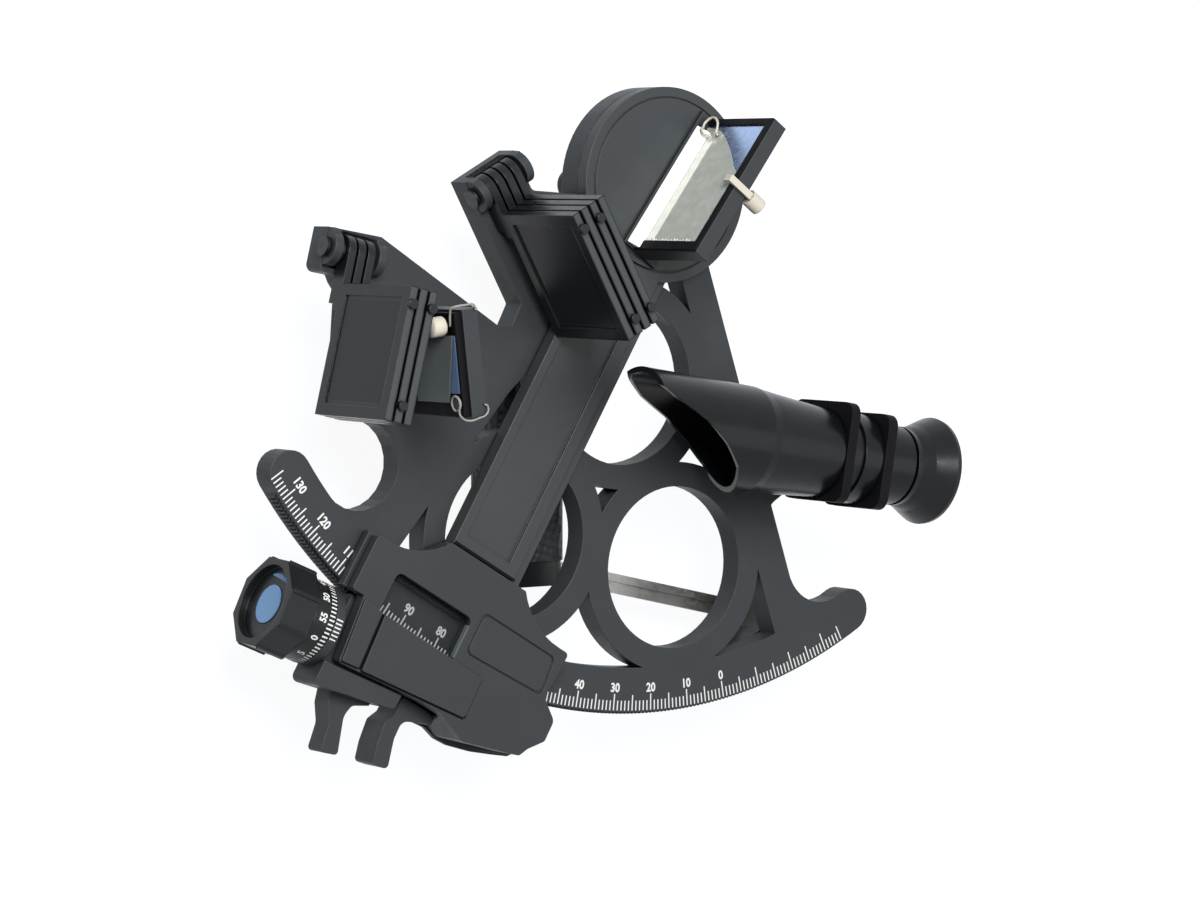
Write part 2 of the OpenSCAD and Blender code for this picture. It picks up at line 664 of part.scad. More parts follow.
// near is the distance from the pin to the plate, wide the plate's width and low its lower edge
module shade(nub, near, wide, low) {
    difference() {
        union() {
            translate([0, 0, lug_z]) tube_along(lug_r, 0, shade_t);
            translate([0, -near - 6, shade_gap]) cube([shade_t, near + 6, lug_z + lug_r - shade_gap]);
            translate([0, -near - 8, 3]) cube([shade_t, 8, low + 1]);
            translate([0, -near - wide, low]) cube([shade_t, wide, shade_top - low]);
            translate([shade_t / 2, -near - (nub ? 5 : wide - 5), shade_top - 0.5])
                cylinder(r = nub_r, h = 1.9);
        }
        translate([-1, 0, lug_z]) tube_along(pin_r + fit_gap, 0, shade_t + 2);
        translate([-1, -near - wide + shade_rim, low + shade_rim])
            cube([shade_t + 2, wide - 2 * shade_rim, shade_top - low - 2 * shade_rim]);
        for (x = [-1, shade_t - 0.6]) translate([x, -near - wide + shade_rim - 1.2, low + shade_rim - 1.2])
            cube([1.6, wide - 2 * shade_rim + 2.4, shade_top - low - 2 * shade_rim + 2.4]);
    }
}
module shade_glass(near, wide, low) {
    translate([0.6, -near - wide + shade_rim, low + shade_rim])
        cube([shade_t - 1.2, wide - 2 * shade_rim, shade_top - low - 2 * shade_rim]);
}
module index_group(k) {
    at_hinge(index_corner, index_turn) translate([index_first + shade_pitch * k, -index_u, 0]) children();
}
module horizon_group(k) {
    at_hinge(horizon_corner, horizon_turn) translate([horizon_first + shade_pitch * k, -horizon_u, 0])
        children();
}
// The horizon shades start a little further from their pin and sit a little lower
horizon_near = shade_reach + 1.9;
horizon_wide = shade_w - 3;
horizon_low = shade_low - 0.6;
module index_shade(k) {
    index_group(k) color([0.13, 0.13, 0.15]) shade(k % 2 == 0, shade_reach, shade_w, shade_low);
}
module index_glass(k) {
    index_group(k) color([0.05, 0.06, 0.1]) shade_glass(shade_reach, shade_w, shade_low);
}
module horizon_shade(k) {
    horizon_group(k) color([0.13, 0.13, 0.15]) shade(k % 2 == 0, horizon_near, horizon_wide, horizon_low);
}
module horizon_glass(k) {
    horizon_group(k) color([0.05, 0.06, 0.1]) shade_glass(horizon_near, horizon_wide, horizon_low);
}
module hinge_pin(c, a, u, total, first) {
    color("silver") at_hinge(c, a) translate([0, -u, lug_z]) {
        if (first > 4) tube_along(3.4, ear_t, first - 0.3);
        tube_along(pin_r, -0.4, total + 0.4);
        tube_along(pin_r + 1.4, -1.4, -0.4);
    }
}

// Mirrors. Each is drawn with X along the glass, Y towards the side it reflects from.
tray_low = 6;
index_mirror_at = [1.73, 1.11];
index_mirror_turn = 84.3;
module at_index_mirror() { on_arm() translate(index_mirror_at) rotate([0, 0, index_mirror_turn]) children(); }
horizon_mirror_at = [-72.9, -72.8];
horizon_mirror_turn = -67.6;
module at_horizon_mirror() {
    on_deck() translate(horizon_mirror_at) rotate([0, 0, horizon_mirror_turn]) children();
}

module tray(l, z0, z1, wall) {
    difference() {
        translate([-l / 2, -tray_t, z0]) cube([l, tray_t, z1 - z0]);
        translate([-l / 2 + wall, -tray_lip - glass_t, z0 + wall]) cube([l - 2 * wall, 10, z1 - z0 - 2 * wall]);
    }
}
module tray_glass(l, z0, z1, wall) {
    translate([-l / 2 + wall + 0.05, -tray_lip - glass_t, z0 + wall + 0.05])
        cube([l - 2 * wall - 0.1, glass_t, z1 - z0 - 2 * wall - 0.1]);
}
tray_wall = 1.6;
index_mirror_top = 5 + mirror_h;
foot_plate = 1.2;
module index_mirror_foot() {
    color("dimgray") at_index_mirror() difference() {
        union() {
            translate([-mirror_len / 2, -9.5, disc_top]) cube([mirror_len, 14, foot_plate]);
            translate([-12, -tray_t - 3, disc_top]) cube([24, 3, 17]);
            for (x = [-12, 10]) translate([x, -tray_t - 7, disc_top]) cube([2, 5, 11]);
        }
        translate([0, -5, 16]) rotate([90, 0, 0]) cylinder(r = 1.5, h = 20);
    }
}
module index_mirror_tray() {
    color("dimgray") at_index_mirror() tray(mirror_len, disc_top + foot_plate, index_mirror_top, tray_wall);
}
module index_mirror_glass() {
    color("lightsteelblue") at_index_mirror()
        tray_glass(mirror_len, disc_top + foot_plate, index_mirror_top, tray_wall);
}
// Bright bevel along the foot of the index glass
strip_out = 4.9;
strip_up = 3;
module index_mirror_strip() {
    low = disc_top + foot_plate;
    color("white") at_index_mirror() translate([-mirror_len / 2 + 0.6, 0, 0]) rotate([90, 0, 90])
        linear_extrude(mirror_len - 1.6)
            polygon([[0, low], [strip_out, low], [strip_out, low + 0.5], [0, low + strip_up]]);
}
clip_w = 2.2;
clip_x = 0.2;
clip_front = 3.4;
barrel_r = 2.6;
// Spring clip: a bar over the tray's top edge with a hook in front and a round end behind
module index_mirror_clips() {
    top = index_mirror_top;
    color("ivory") at_index_mirror() {
        translate([clip_x - clip_w / 2, -tray_t - 2.4, top]) cube([clip_w, tray_t + 2.4 + clip_front, 1.1]);
        translate([clip_x - clip_w / 2, clip_front - 1, top - 2.2]) cube([clip_w, 1, 3.3]);
        translate([clip_x, -tray_t - 1.4, top - 0.9]) rotate([90, 0, 0]) cylinder(r = barrel_r, h = 5);
    }
}
module index_adjuster() {
    color("silver") at_index_mirror() translate([0, -tray_t, 16]) rotate([90, 0, 0]) {
        cylinder(r = 1.5, h = 7);
        translate([0, 0, 5]) cylinder(r = 3.4, h = 4);
    }
}
horizon_mirror_top = 6.5 + horizon_h;
module horizon_mirror_foot() {
    color("dimgray") at_horizon_mirror() difference() {
        union() {
            translate([-10, -tray_t - 2.6, 0]) cube([20, tray_t + 2.6, tray_low]);
            translate([-9, -tray_t - 2.6, 0]) cube([18, 2.6, 13]);
        }
        translate([0, -4, 9.4]) rotate([90, 0, 0]) cylinder(r = 1.5, h = 20);
    }
}
module horizon_mirror_tray() {
    color("dimgray") at_horizon_mirror() difference() {
        tray(horizon_len, tray_low, horizon_mirror_top, tray_wall);
        translate([-horizon_len / 2 + 3, -tray_t - 1, 15])
            cube([horizon_len - 6, 1.6, horizon_mirror_top - 18]);
    }
}
module horizon_mirror_glass() {
    color("lightsteelblue") at_horizon_mirror()
        tray_glass(horizon_len, tray_low, horizon_mirror_top, tray_wall);
}
tab_x = -horizon_len / 2 + 4.4;
tab_z = horizon_mirror_top - 5.5;
tab_r = 3.1;
tab_t = 2.4;
// Round end of the horizon mirror's spring clip, standing behind the tray, and two small hooks
module horizon_mirror_clips() {
    top = horizon_mirror_top;
    color("ivory") at_horizon_mirror() {
        translate([tab_x, -tray_t, tab_z]) rotate([90, 0, 0]) cylinder(r1 = 1, r2 = 2.2, h = 3.4);
        translate([tab_x, -tray_t - 3.2, tab_z]) rotate([90, 0, 0]) cylinder(r = tab_r, h = tab_t);
        for (x = [-horizon_len / 2 + 2, horizon_len / 2 - 4]) {
            translate([x, -tray_t - 0.6, top - 3]) cube([1, 0.6, 3.4]);
            translate([x, -tray_t - 0.6, top]) cube([1, tray_t + 1, 0.5]);
        }
    }
}
module horizon_adjuster() {
    color("silver") at_horizon_mirror() translate([0, -tray_t, 9.4]) rotate([90, 0, 0]) {
        cylinder(r = 1.5, h = 6);
        translate([0, 0, 4]) cylinder(r = 3, h = 3.4);
    }
}

// Telescope, drawn along X from the middle of its bracket
tele_at = [58.7, -67.4];
module on_tele() {
    on_deck() translate([tele_at[0], tele_at[1], tele_z]) rotate([0, 0, tele_angle]) children();
}
// Solid of revolution along X from [radius, distance] pairs
module lathe(p) { rotate([0, 90, 0]) rotate_extrude($fn = 64) polygon(p); }
tongue_end = -65.5;
tube_end = 30;
neck_step = 1.9;
cell_at = -14;
function tube_outer() = [[hood_r, tongue_end], [hood_r, -25], [hood_r - 0.5, -22], [tube_r + 1.3, -6.5], [tube_r, 10],
                         [tube_r, collar_at], [tube_r - 0.6, collar_at], [tube_r - 0.6, collar_step - 2],
                         [tube_r - neck_step, collar_step - 2]];
module hood_cut() {
    rotate([0, -14, 0]) translate([0, 0, -60]) linear_extrude(120) polygon(concat(
        [[-27, -30], [-27, -17], [-31, -9], [-37.2, -2.8], [-45.8, 3.5], [-56.3, 8.2], [-63, 12.5]],
        [[-66.5, 15.5], [-80, 16.5], [-80, -30]]));
}
module telescope_tube() {
    color([0.1, 0.1, 0.11]) on_tele() difference() {
        lathe(concat(tube_outer(), [[tube_r - neck_step, tube_end], [tube_r - neck_step - 0.7, tube_end],
                     [tube_r - neck_step - 0.7, collar_at + 6], [tube_r - tube_wall - 0.6, collar_at + 4],
                     [tube_r - tube_wall - 0.6, -4],
                     [tube_r - 0.4, -6.5], [tube_r - 0.4, cell_at + 5], [hood_r - tube_wall - 1.6, cell_at + 5],
                     [hood_r - tube_wall - 1.6, cell_at], [hood_r - tube_wall - 0.6, cell_at - 2],
                     [hood_r - tube_wall, cell_at - 8], [hood_r - tube_wall, tongue_end]]));
        hood_cut();
    }
}
cell_r = hood_r - tube_wall - 1.6;
module objective_lens() {
    color("lightcyan", 0.5) on_tele() tube_along(cell_r - 0.1, cell_at + 1.4, cell_at + 5);
}
module objective_ring() {
    color("black") on_tele() difference() {
        tube_along(cell_r, cell_at, cell_at + 1.4);
        tube_along(cell_r - 1.6, cell_at - 1, cell_at + 3);
    }
}
collar_at = 12;
collar_step = 23.5;
collar_end = 34;
module focus_collar() {
    color([0.1, 0.1, 0.11]) on_tele() lathe([[tube_r - 0.55, collar_at + 0.05], [collar_r, collar_at + 0.05],
        [collar_r, collar_step - 0.6], [collar_r - 0.6, collar_step], [tube_r - 1, collar_step],
        [tube_r - 1, collar_end - 0.5], [tube_r - 1.5, collar_end], [tube_r - neck_step - 0.65, collar_end],
        [tube_r - neck_step - 0.65, tube_end + 0.05], [tube_r - neck_step + 0.05, tube_end + 0.05],
        [tube_r - neck_step + 0.05, collar_step - 1.95], [tube_r - 0.55, collar_step - 1.95]]);
}
eye_r = tube_r - neck_step - 0.8;
module eye_tube() {
    color([0.1, 0.1, 0.11]) on_tele() lathe([[eye_r, 16], [eye_r, 38], [eye_r - 1.5, 38], [eye_r - 1.5, 34.5],
        [eye_r - 2.4, 34.5], [eye_r - 2.4, 16]]);
}
module eye_lens() {
    color("lightcyan", 0.5) on_tele() tube_along(eye_r - 1.5, 34.5, 37);
}
module eye_cup() {
    color([0.08, 0.08, 0.09]) on_tele() lathe([[eye_r, 34.6], [cup_r - 4.4, 34.6], [cup_r - 4.6, 36.4], [cup_r - 4, 38],
        [cup_r - 3.2, 40.4], [cup_r - 1.6, 43.6], [cup_r, 46.8], [cup_r - 0.3, 48.2], [cup_r - 1.2, 48.8], [cup_r - 2.2, 48.2],
        [cup_r - 4.4, 43], [eye_r, 39.4]]);
}
saddle_r = tube_r + 1.6;
module holder_plate(x0, x1, y0, y1, z0, z1) {
    translate([x0, 0, 0]) rotate([90, 0, 90]) linear_extrude(x1 - x0)
        polygon(rounded([[y0, z0, 4], [y1, z0, 4], [y1, z1, 4], [y0, z1, 4]]));
}
// Two square plates round the tube, on one foot that stays clear of the arm's flange
module telescope_bracket() {
    color([0.12, 0.12, 0.13]) on_tele() difference() {
        union() {
            holder_plate(4.5, 7.7, -14.6, 16.1, -15.5, 14);
            holder_plate(19, 22.4, -14.8, 14.5, -13.5, 14.5);
            translate([5, -9, -20]) cube([17, 13, 9]);
            translate([8.4, -9, -tele_z]) cube([13.6, 13, 8]);
        }
        lathe([[0, -8], [tube_r + 1.45, -8], [tube_r + 0.03, 10], [tube_r + 0.03, collar_at], [0, collar_at]]);
        tube_along(collar_r + 0.03, collar_at, 60);
    }
}
// Handle: two moulded halves between end caps, joined to the right leg by a grooved bar
grip_at = [-1, -110.8];
grip_foot = -8.4;
cap_len = 7.6;
grip_z = -frame_t - handle_drop;
bar_y = -118;
bar_turn = 2.8;
bar_t = 4;
bar_wide = 6;
module on_grip() { on_deck() translate([grip_at[0], grip_at[1], grip_z]) rotate([0, 0, grip_lean]) children(); }
module grip_section(g) {
    w = grip_w / 2 - g;
    t = grip_t / 2 - g;
    polygon(rounded([[-w, -t, 6 - g], [w, -t, 6 - g], [w, t, 6 - g], [-w, t, 6 - g]]));
}
module grip_length(y0, y1, g) {
    translate([0, y1, 0]) rotate([90, 0, 0]) linear_extrude(y1 - y0) grip_section(g);
}
module grip_half(side) {
    color([0.12, 0.12, 0.13]) on_grip() difference() {
        intersection() {
            grip_length(grip_foot, grip_foot + grip_len, 0);
            translate([-20, grip_foot, side > 0 ? 0 : -20]) cube([40, grip_len, 20]);
        }
        grip_length(grip_foot + 3, grip_foot + grip_len - 3, 2.6);
    }
}
post_y = grip_foot + grip_len + cap_len / 2;
post_x = -8;
module handle_caps() {
    color([0.1, 0.1, 0.11]) {
        on_grip() grip_length(grip_foot - cap_len, grip_foot, 0.5);
        on_grip() grip_length(grip_foot + grip_len, grip_foot + grip_len + cap_len, 0.5);
        on_grip() translate([post_x, post_y, 0]) cylinder(r = 3.6, h = handle_drop);
    }
}
module handle_bar() {
    color("silver") on_deck() translate([36.8, bar_y, grip_z]) rotate([0, 0, bar_turn]) difference() {
        translate([-26, -bar_wide / 2, -bar_t / 2]) cube([72.5, bar_wide, bar_t]);
        translate([-30, -0.5, bar_t / 2 - 0.8]) cube([90, 1, 2]);
        on_bar_cut();
    }
}
module on_bar_cut() {
    rotate([0, 0, -bar_turn]) translate([grip_at[0] - 36.8, grip_at[1] - bar_y, 0]) rotate([0, 0, grip_lean])
        grip_length(grip_foot - cap_len - 2, grip_foot, 0.5);
}
leg_drop = 34;
leg_shape = [[-12, 10.5], [-6, 7.6], [4, 4.5], [4.6, -0.5], [-3, -3.5], [-10.6, -9.4],
             [-20, -15.4], [-23.5, -14], [-13, -4.5]];
pad_t = 2;
cup_out = 10.2;
module legs() {
    color([0.11, 0.11, 0.12]) {
        translate([foot_places[1][0], foot_places[1][1], pad_t])
            cylinder(r = foot_r, h = deck - frame_t - pad_t);
        difference() {
            union() {
                translate([0, 0, pad_t]) cylinder(r = foot_r, h = deck - 17 - pad_t);
                on_deck() slab(-17.5, frame_back) circle(cup_out);
            }
            on_deck() slab(-15.6, 0) circle(cup_out - 1.6);
            on_deck() translate([0, -3, -15.6]) cube([20, 6, 6]);
        }
        difference() {
            union() {
                on_deck() slab(-leg_drop, frame_back) translate(foot_places[2])
                    polygon(rounded([for (p = leg_shape) [p[0], p[1], 0.8]]));
                translate([foot_places[2][0], foot_places[2][1], pad_t])
                    cylinder(r = foot_r - 0.5, h = deck - leg_drop + 2 - pad_t);
            }
            on_deck() translate([36.8, bar_y, grip_z]) rotate([0, 0, bar_turn])
                translate([0, -bar_wide / 2, -bar_t / 2]) cube([46.5, bar_wide, bar_t]);
        }
    }
}
module foot_pads() {
    color([0.06, 0.06, 0.06]) {
        for (k = [0, 1]) translate([foot_places[k][0], foot_places[k][1], 0]) cylinder(r = foot_r, h = pad_t);
        translate([foot_places[2][0], foot_places[2][1], 0]) cylinder(r = foot_r - 0.5, h = pad_t);
    }
}

frame();
index_arm();
arm_casing();
casing_back();
index_plate();
side_plate();
window_pane();
fixed_finger_lever();
pivot_axle();
pivot_bush();
pivot_washer();
pivot_nut();
worm_carriage();
carriage_pin();
release_spring();
worm_shaft();
drum();
knob();
knob_cap();
index_mirror_foot();
index_mirror_tray();
index_mirror_glass();
index_mirror_strip();
index_mirror_clips();
index_adjuster();
horizon_mirror_foot();
horizon_mirror_tray();
horizon_mirror_glass();
horizon_mirror_clips();
horizon_adjuster();
index_shade(0);  // index_shade_1
index_shade(1);  // index_shade_2
index_shade(2);  // index_shade_3
index_shade(3);  // index_shade_4
index_glass(0);  // index_glass_1
index_glass(1);  // index_glass_2
index_glass(2);  // index_glass_3
index_glass(3);  // index_glass_4
hinge_pin(index_corner, index_turn, index_u, index_width, index_first);  // index_shade_pin
horizon_shade(0);  // horizon_shade_1
horizon_shade(1);  // horizon_shade_2
horizon_shade(2);  // horizon_shade_3
horizon_glass(0);  // horizon_glass_1
horizon_glass(1);  // horizon_glass_2
horizon_glass(2);  // horizon_glass_3
hinge_pin(horizon_corner, horizon_turn, horizon_u, horizon_width, horizon_first);  // horizon_shade_pin
telescope_tube();
objective_lens();
objective_ring();
focus_collar();
eye_tube();
eye_lens();
eye_cup();
telescope_bracket();
grip_half(1);  // handle_front
grip_half(-1);  // handle_back
handle_caps();
handle_bar();
legs();
foot_pads();
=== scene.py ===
"""Plastic marine sextant lying on its back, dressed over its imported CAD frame."""
import json
import math

import bpy
import bmesh
from mathutils import Matrix, Vector


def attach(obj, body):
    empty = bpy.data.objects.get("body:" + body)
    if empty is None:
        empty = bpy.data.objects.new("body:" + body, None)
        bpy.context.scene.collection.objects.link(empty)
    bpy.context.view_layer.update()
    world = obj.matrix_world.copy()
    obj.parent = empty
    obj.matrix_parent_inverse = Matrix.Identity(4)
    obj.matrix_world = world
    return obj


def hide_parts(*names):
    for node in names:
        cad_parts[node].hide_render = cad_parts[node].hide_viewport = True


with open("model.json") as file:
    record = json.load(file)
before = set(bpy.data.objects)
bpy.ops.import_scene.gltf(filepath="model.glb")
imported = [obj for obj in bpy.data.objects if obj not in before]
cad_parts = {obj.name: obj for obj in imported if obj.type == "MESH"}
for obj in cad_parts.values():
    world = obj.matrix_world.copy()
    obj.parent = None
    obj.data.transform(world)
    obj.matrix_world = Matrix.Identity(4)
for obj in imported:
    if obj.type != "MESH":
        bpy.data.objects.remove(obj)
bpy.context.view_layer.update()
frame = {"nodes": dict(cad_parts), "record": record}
NODES = frame["nodes"]

MM = 0.001
DECK = 46.0

# The arm's reading in the photograph, and the reading that lies straight down
READING = 88.0
MIDDLE_READING = 50.0
INDEX_LEAD = 3.7
ARM_ANGLE = (READING - MIDDLE_READING) / 2 - INDEX_LEAD
ARC_R = 160.5
WORM_D = 164.4
WORM_ANGLE = 7.3
WORM_DEPTH = 4.0


# Places, in millimetres from the pivot on the arc's front face

def polar(radius, angle):
    """Point at an angle to the right of straight down."""
    a = math.radians(angle)
    return Vector((radius * math.sin(a), -radius * math.cos(a)))


def turned(angle):
    """Matrix of a turn about Z."""
    return Matrix.Rotation(math.radians(angle), 4, "Z")


def place(x, y, turn=0.0):
    """Matrix from local millimetres to model metres."""
    scale = Matrix.Diagonal((MM, MM, MM, 1))
    return scale @ Matrix.Translation((x, y, DECK)) @ turned(turn)


ON_DECK = place(0, 0)
ON_ARM = place(0, 0, -ARM_ANGLE)
worm_place = polar(WORM_D, WORM_ANGLE)
ON_WORM = ON_ARM @ Matrix.Translation((worm_place.x, worm_place.y, -WORM_DEPTH)) @ turned(WORM_ANGLE)


# Meshes

def finish_object(obj, body, material):
    obj.data.materials.clear()
    obj.data.materials.append(material)
    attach(obj, body)
    return obj


def mesh_object(name, verts, faces, matrix, body, material, smooth=False):
    mesh = bpy.data.meshes.new(name)
    mesh.from_pydata([matrix @ Vector(v) for v in verts], [], faces)
    mesh.validate()
    bm = bmesh.new()
    bm.from_mesh(mesh)
    bmesh.ops.recalc_face_normals(bm, faces=bm.faces)
    bm.to_mesh(mesh)
    bm.free()
    for polygon in mesh.polygons:
        polygon.use_smooth = smooth
    obj = bpy.data.objects.new(name, mesh)
    bpy.context.scene.collection.objects.link(obj)
    return finish_object(obj, body, material)


def add_bar(verts, faces, corners, z0, z1):
    """Adds a prism over four or more corners to the lists."""
    n = len(corners)
    base = len(verts)
    verts.extend([(c[0], c[1], z0) for c in corners])
    verts.extend([(c[0], c[1], z1) for c in corners])
    faces.append(list(range(base + n - 1, base - 1, -1)))
    faces.append(list(range(base + n, base + 2 * n)))
    for i in range(n):
        j = (i + 1) % n
        faces.append([base + i, base + j, base + n + j, base + n + i])


def radial_mark(verts, faces, angle, r0, r1, width, z0, z1):
    """A graduation from radius r0 to r1, at an angle to the right of straight down."""
    a = math.radians(angle)
    along = Vector((math.sin(a), -math.cos(a)))
    side = Vector((math.cos(a), math.sin(a))) * width / 2
    corners = [along * r0 - side, along * r0 + side, along * r1 + side, along * r1 - side]
    add_bar(verts, faces, corners, z0, z1)


CAPITAL_SHARE = 0.72
STROKE_SHARE = 0.045
NUMBER_WIDTH = 0.9


def number_mesh(text, height):
    """Vertices and faces of a number, centred, lying in XY, in millimetres."""
    curve = bpy.data.curves.new("digits", "FONT")
    curve.body = text
    curve.size = height / CAPITAL_SHARE
    curve.align_x = "CENTER"
    curve.align_y = "CENTER"
    curve.resolution_u = 3
    curve.offset = height * STROKE_SHARE
    obj = bpy.data.objects.new("digits", curve)
    bpy.context.scene.collection.objects.link(obj)
    depsgraph = bpy.context.evaluated_depsgraph_get()
    mesh = bpy.data.meshes.new_from_object(obj.evaluated_get(depsgraph))
    verts = [(v.co.x * NUMBER_WIDTH, v.co.y, v.co.z) for v in mesh.vertices]
    faces = [list(p.vertices) for p in mesh.polygons]
    bpy.data.objects.remove(obj)
    bpy.data.curves.remove(curve)
    bpy.data.meshes.remove(mesh)
    return verts, faces


# Materials

def nodes_of(name):
    material = bpy.data.materials.new(name)
    material.use_nodes = True
    tree = material.node_tree
    shader = tree.nodes["Principled BSDF"]
    return material, tree, shader


def link(tree, a, b):
    tree.links.new(a, b)


def noise(tree, coords, scale, detail=3.0, rough=0.5):
    node = tree.nodes.new("ShaderNodeTexNoise")
    node.inputs["Scale"].default_value = scale
    node.inputs["Detail"].default_value = detail
    node.inputs["Roughness"].default_value = rough
    link(tree, coords, node.inputs["Vector"])
    return node


def ramp(tree, source, low, high, c0, c1):
    node = tree.nodes.new("ShaderNodeValToRGB")
    node.color_ramp.elements[0].position = low
    node.color_ramp.elements[1].position = high
    node.color_ramp.elements[0].color = c0
    node.color_ramp.elements[1].color = c1
    link(tree, source, node.inputs["Fac"])
    return node


def grey(value):
    return (value, value, value, 1)


def tint(colour, factor):
    return (colour[0] * factor, colour[1] * factor, colour[2] * factor, 1)


# Sizes of the noise are in cells a metre, and depths in metres
MOTTLE = 45
GRAIN = 2600
GRAIN_DEPTH = 0.00006
# Reach of the painted shade in corners and creases
CREASE_SHADE_REACH = 1.8 * MM
DIMPLES = 420
DIMPLE_DEPTH = 0.0009


def plastic(name, colour, rough=0.5, grain=0.25, spread=0.1, edge=0.45, edge_highlight=2.0, spec=0.22,
            dimples=False):
    """Moulded plastic: mottled colour, fine grain, a painted highlight along the edges and painted shade in
    the corners and creases.
    """
    material, tree, shader = nodes_of(name)
    coords = tree.nodes.new("ShaderNodeTexCoord").outputs["Object"]
    broad = noise(tree, coords, MOTTLE, 4, 0.6)
    base = ramp(tree, broad.outputs["Fac"], 0.3, 0.7, tint(colour, 1 - spread), tint(colour, 1 + spread))
    # Painted highlight: the colour is lightened by the given factor where the bevelled normal turns from the
    # true one
    bevel = tree.nodes.new("ShaderNodeBevel")
    bevel.samples = 6
    bevel.inputs["Radius"].default_value = edge * MM
    geometry = tree.nodes.new("ShaderNodeNewGeometry")
    dot = tree.nodes.new("ShaderNodeVectorMath")
    dot.operation = "DOT_PRODUCT"
    link(tree, bevel.outputs["Normal"], dot.inputs[0])
    link(tree, geometry.outputs["Normal"], dot.inputs[1])
    edge_highlight_ramp = ramp(tree, dot.outputs["Value"], 0.86, 0.99, tint(colour, edge_highlight), tint(colour, 1))
    mix = tree.nodes.new("ShaderNodeMix")
    mix.data_type = "RGBA"
    mix.blend_type = "LIGHTEN"
    mix.inputs["Factor"].default_value = 1.0
    link(tree, base.outputs["Color"], mix.inputs["A"])
    link(tree, edge_highlight_ramp.outputs["Color"], mix.inputs["B"])
    # Painted shade: ambient occlusion darkens the colour in corners and creases
    corners = tree.nodes.new("ShaderNodeAmbientOcclusion")
    corners.samples = 8
    corners.inputs["Distance"].default_value = CREASE_SHADE_REACH
    painted_crease_shade = ramp(tree, corners.outputs["AO"], 0.45, 0.85, grey(0.3), grey(1.0))
    crease_shaded = tree.nodes.new("ShaderNodeMix")
    crease_shaded.data_type = "RGBA"
    crease_shaded.blend_type = "MULTIPLY"
    crease_shaded.inputs["Factor"].default_value = 1.0
    link(tree, mix.outputs["Result"], crease_shaded.inputs["A"])
    link(tree, painted_crease_shade.outputs["Color"], crease_shaded.inputs["B"])
    link(tree, crease_shaded.outputs["Result"], shader.inputs["Base Color"])
    fine = noise(tree, coords, GRAIN, 2, 0.5)
    bump = tree.nodes.new("ShaderNodeBump")
    bump.inputs["Strength"].default_value = grain
    bump.inputs["Distance"].default_value = GRAIN_DEPTH
    link(tree, fine.outputs["Fac"], bump.inputs["Height"])
    link(tree, bevel.outputs["Normal"], bump.inputs["Normal"])
    last = bump
    if dimples:
        cells = tree.nodes.new("ShaderNodeTexVoronoi")
        cells.inputs["Scale"].default_value = DIMPLES
        cells.inputs["Randomness"].default_value = 0.25
        link(tree, coords, cells.inputs["Vector"])
        last = tree.nodes.new("ShaderNodeBump")
        last.inputs["Strength"].default_value = 0.9
        last.inputs["Distance"].default_value = DIMPLE_DEPTH
        link(tree, cells.outputs["Distance"], last.inputs["Height"])
        link(tree, bump.outputs["Normal"], last.inputs["Normal"])
    link(tree, last.outputs["Normal"], shader.inputs["Normal"])
    patches = noise(tree, coords, 160, 3, 0.6)
    gloss = ramp(tree, patches.outputs["Fac"], 0.3, 0.7, grey(rough - 0.05), grey(rough + 0.06))
    link(tree, gloss.outputs["Color"], shader.inputs["Roughness"])
    shader.inputs["Specular IOR Level"].default_value = spec
    return material


def metal(name, colour, rough=0.3, metallic=1.0):
    material, tree, shader = nodes_of(name)
    coords = tree.nodes.new("ShaderNodeTexCoord").outputs["Object"]
    stain = noise(tree, coords, 300, 5, 0.65)
    base = ramp(tree, stain.outputs["Fac"], 0.3, 0.75, tint(colour, 0.85), tint(colour, 1.08))
    link(tree, base.outputs["Color"], shader.inputs["Base Color"])
    patches = noise(tree, coords, 900, 3)
    gloss = ramp(tree, patches.outputs["Fac"], 0.3, 0.7, grey(rough * 0.8), grey(rough * 1.25))
    link(tree, gloss.outputs["Color"], shader.inputs["Roughness"])
    bump = tree.nodes.new("ShaderNodeBump")
    bump.inputs["Strength"].default_value = 0.15
    bump.inputs["Distance"].default_value = 0.00003
    link(tree, noise(tree, coords, 2500, 2).outputs["Fac"], bump.inputs["Height"])
    link(tree, bump.outputs["Normal"], shader.inputs["Normal"])
    shader.inputs["Metallic"].default_value = metallic
    return material


def glass(name, colour, alpha, rough=0.03, spec=0.2):
    material, tree, shader = nodes_of(name)
    coords = tree.nodes.new("ShaderNodeTexCoord").outputs["Object"]
    broad = noise(tree, coords, 60, 3)
    base = ramp(tree, broad.outputs["Fac"], 0.3, 0.7, tint(colour, 0.94), tint(colour, 1.06))
    link(tree, base.outputs["Color"], shader.inputs["Base Color"])
    patches = noise(tree, coords, 220, 3)
    gloss = ramp(tree, patches.outputs["Fac"], 0.4, 0.8, grey(rough), grey(rough + 0.03))
    link(tree, gloss.outputs["Color"], shader.inputs["Roughness"])
    shader.inputs["Alpha"].default_value = alpha
    shader.inputs["Specular IOR Level"].default_value = spec
    return material


BODY = (0.027, 0.031, 0.0345)
BLACK = (0.007, 0.008, 0.009)
body_mat = plastic("charcoal_plastic", BODY, rough=0.46)
arm_mat = plastic("arm_plastic", (0.029, 0.0325, 0.034), rough=0.42, spec=0.3)
grip_mat = plastic("grip_plastic", (0.020, 0.022, 0.024), rough=0.45, dimples=True)
black_mat = plastic("black_plastic", BLACK, rough=0.31, grain=0.12, edge_highlight=1.9, spec=0.25)
tube_mat = plastic("tube_plastic", (0.004, 0.005, 0.006), rough=0.25, grain=0.05, edge_highlight=1.8, spec=0.2)
rubber_mat = plastic("soft_rubber", (0.006, 0.007, 0.008), rough=0.26, grain=0.08, edge_highlight=1.8)
